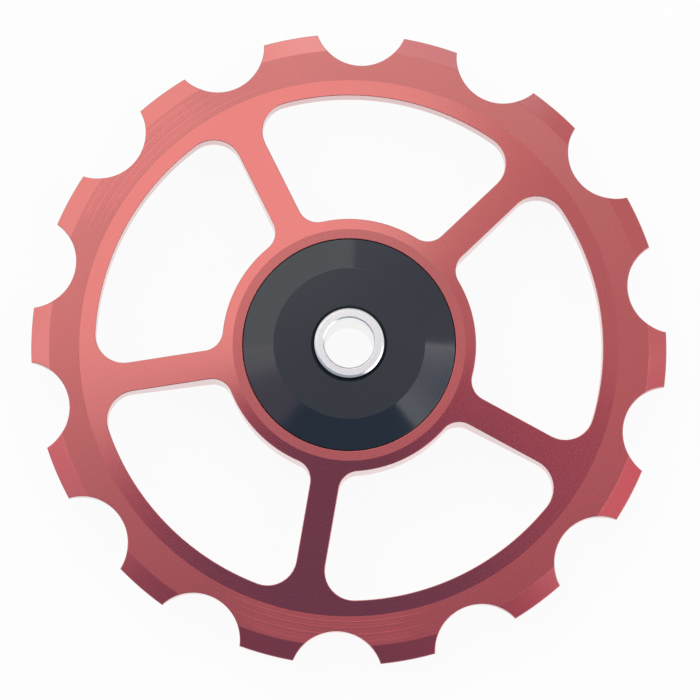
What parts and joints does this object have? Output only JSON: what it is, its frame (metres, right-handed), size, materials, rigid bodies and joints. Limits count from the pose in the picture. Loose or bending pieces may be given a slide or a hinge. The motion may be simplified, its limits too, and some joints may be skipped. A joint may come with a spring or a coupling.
{
  "type": "derailleur jockey wheel",
  "caption": "Toothed chain guide wheel with straight spokes, turning on a sealed ball bearing around a steel axle bush, with a bevelled dust cap on each side.",
  "frame": {"origin": "centre of the wheel, on its axis and in its middle plane", "axes": "+Z along the wheel's axis towards the front cap, +X through the tooth that a spoke points at"},
  "size_m": [0.0548, 0.0542, 0.0082],
  "materials": {
    "wheel_alloy": "turned and milled, red anodised",
    "cap_alloy": "turned, black anodised",
    "bush_steel": "polished",
    "bearing_steel": "ground",
    "ball_ceramic": "lapped",
    "cage_nylon": "moulded",
    "seal_rubber": "moulded"
  },
  "bodies": {
    "axle": {"axle_bush": "bush_steel", "bearing_inner_ring": "bearing_steel", "front_cap": "cap_alloy", "rear_cap": "cap_alloy"},
    "wheel": {"toothed_wheel": "wheel_alloy", "bearing_outer_ring": "bearing_steel", "front_seal": "seal_rubber", "rear_seal": "seal_rubber"},
    "cage": {"ball_cage": "cage_nylon"},
    "ball_1": {"bearing_ball_1": "ball_ceramic"},
    "ball_2": {"bearing_ball_2": "ball_ceramic"},
    "ball_3": {"bearing_ball_3": "ball_ceramic"},
    "ball_4": {"bearing_ball_4": "ball_ceramic"},
    "ball_5": {"bearing_ball_5": "ball_ceramic"},
    "ball_6": {"bearing_ball_6": "ball_ceramic"},
    "ball_7": {"bearing_ball_7": "ball_ceramic"},
    "ball_8": {"bearing_ball_8": "ball_ceramic"}
  },
  "joints": [
    {"name": "wheel_spin", "type": "hinge", "parent": "axle", "child": "wheel", "pos_m": [0, 0, 0], "axis": [0, 0, 1], "continuous": true},
    {"name": "cage_spin", "type": "hinge", "parent": "axle", "child": "cage", "pos_m": [0, 0, 0], "axis": [0, 0, 1], "continuous": true},
    {"name": "ball_1_roll", "type": "hinge", "parent": "cage", "child": "ball_1", "pos_m": [0.00525, 0, 0], "axis": [0, 0, 1], "continuous": true},
    {"name": "ball_2_roll", "type": "hinge", "parent": "cage", "child": "ball_2", "pos_m": [0.00371, 0.00371, 0], "axis": [0, 0, 1], "continuous": true},
    {"name": "ball_3_roll", "type": "hinge", "parent": "cage", "child": "ball_3", "pos_m": [0, 0.00525, 0], "axis": [0, 0, 1], "continuous": true},
    {"name": "ball_4_roll", "type": "hinge", "parent": "cage", "child": "ball_4", "pos_m": [-0.00371, 0.00371, 0], "axis": [0, 0, 1], "continuous": true},
    {"name": "ball_5_roll", "type": "hinge", "parent": "cage", "child": "ball_5", "pos_m": [-0.00525, 0, 0], "axis": [0, 0, 1], "continuous": true},
    {"name": "ball_6_roll", "type": "hinge", "parent": "cage", "child": "ball_6", "pos_m": [-0.00371, -0.00371, 0], "axis": [0, 0, 1], "continuous": true},
    {"name": "ball_7_roll", "type": "hinge", "parent": "cage", "child": "ball_7", "pos_m": [0, -0.00525, 0], "axis": [0, 0, 1], "continuous": true},
    {"name": "ball_8_roll", "type": "hinge", "parent": "cage", "child": "ball_8", "pos_m": [0.00371, -0.00371, 0], "axis": [0, 0, 1], "continuous": true}
  ],
  "couplings": [
    {"joint": "cage_spin", "follows": "wheel_spin", "ratio": 0.61338},
    {"joint": "ball_1_roll", "follows": "wheel_spin", "ratio": 2.0916},
    {"joint": "ball_2_roll", "follows": "wheel_spin", "ratio": 2.0916},
    {"joint": "ball_3_roll", "follows": "wheel_spin", "ratio": 2.0916},
    {"joint": "ball_4_roll", "follows": "wheel_spin", "ratio": 2.0916},
    {"joint": "ball_5_roll", "follows": "wheel_spin", "ratio": 2.0916},
    {"joint": "ball_6_roll", "follows": "wheel_spin", "ratio": 2.0916},
    {"joint": "ball_7_roll", "follows": "wheel_spin", "ratio": 2.0916},
    {"joint": "ball_8_roll", "follows": "wheel_spin", "ratio": 2.0916}
  ]
}
